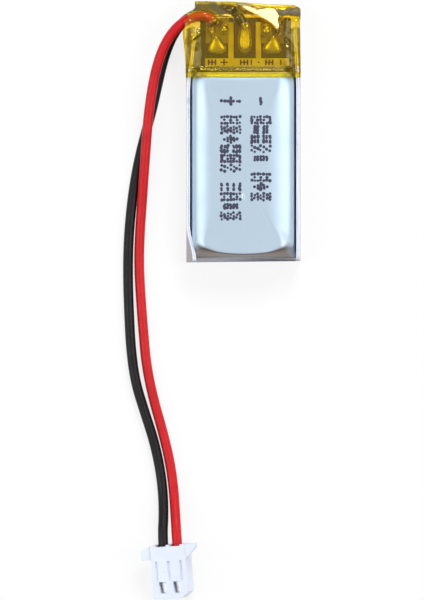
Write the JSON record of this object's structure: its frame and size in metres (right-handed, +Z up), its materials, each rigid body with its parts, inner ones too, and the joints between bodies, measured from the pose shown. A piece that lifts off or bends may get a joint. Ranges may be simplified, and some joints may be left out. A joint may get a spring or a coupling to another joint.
{
  "type": "lithium polymer battery pack",
  "caption": "Small flat pouch cell with a taped-on protection board and short red and black leads ending in a white two-way plug.",
  "frame": {"origin": "middle of the footprint of the pack without its leads, on its back face", "axes": "+Y along the pack from the folded end to the protection board, +Z up through its thickness, +X towards its right side seam"},
  "size_m": [0.0156, 0.0523, 0.0041],
  "materials": {
    "pouch_foil": "satin aluminium laminate under clear nylon film",
    "amber_tape": "clear amber polyimide tape, glossy and creased",
    "anode_coating": "graphite coating on copper foil",
    "cathode_coating": "lithium cobalt oxide coating on aluminium foil",
    "separator_film": "thin white porous polyolefin film",
    "winding_tape": "thin green adhesive tape",
    "aluminium_tab": "smooth rolled strip",
    "nickel_tab": "smooth rolled nickel strip",
    "tab_sealant": "milky polypropylene sealing film",
    "insulating_foam": "white foam with closed cells",
    "board_laminate": "fibreglass board under green solder mask",
    "pad_copper": "gold-plated copper",
    "chip_moulding": "black epoxy moulding",
    "tinned_terminal": "bright tinned copper",
    "capacitor_ceramic": "tan ceramic with tinned ends",
    "resistor_ceramic": "dark glazed ceramic with tinned ends",
    "red_pvc": "soft semi-gloss red PVC",
    "black_pvc": "soft semi-gloss black PVC",
    "tinned_copper": "tinned copper strands",
    "solder": "bright solder, slightly frosted",
    "white_nylon": "moulded natural white nylon, satin",
    "tinned_contact": "tinned phosphor bronze"
  },
  "bodies": {
    "root": {"pouch_cup": "pouch_foil", "pouch_back": "pouch_foil", "polyimide_tape": "amber_tape", "anode_foil": "anode_coating", "cathode_foil": "cathode_coating", "separator_inner": "separator_film", "separator_outer": "separator_film", "winding_tape": "winding_tape", "positive_tab": "aluminium_tab", "negative_tab": "nickel_tab", "positive_tab_film": "tab_sealant", "negative_tab_film": "tab_sealant", "board_insulation": "insulating_foam", "circuit_board": "board_laminate", "board_pads": "pad_copper", "mosfet_pair": "chip_moulding", "mosfet_leads": "tinned_terminal", "protection_ic": "chip_moulding", "protection_ic_leads": "tinned_terminal", "chip_capacitor": "capacitor_ceramic", "chip_resistors": "resistor_ceramic", "red_lead": "red_pvc", "red_lead_core": "tinned_copper", "black_lead": "black_pvc", "black_lead_core": "tinned_copper", "solder_positive": "solder", "solder_black_lead": "solder", "solder_negative": "solder", "connector_housing": "white_nylon", "terminal_positive": "tinned_contact", "terminal_negative": "tinned_contact"}
  },
  "joints": []
}
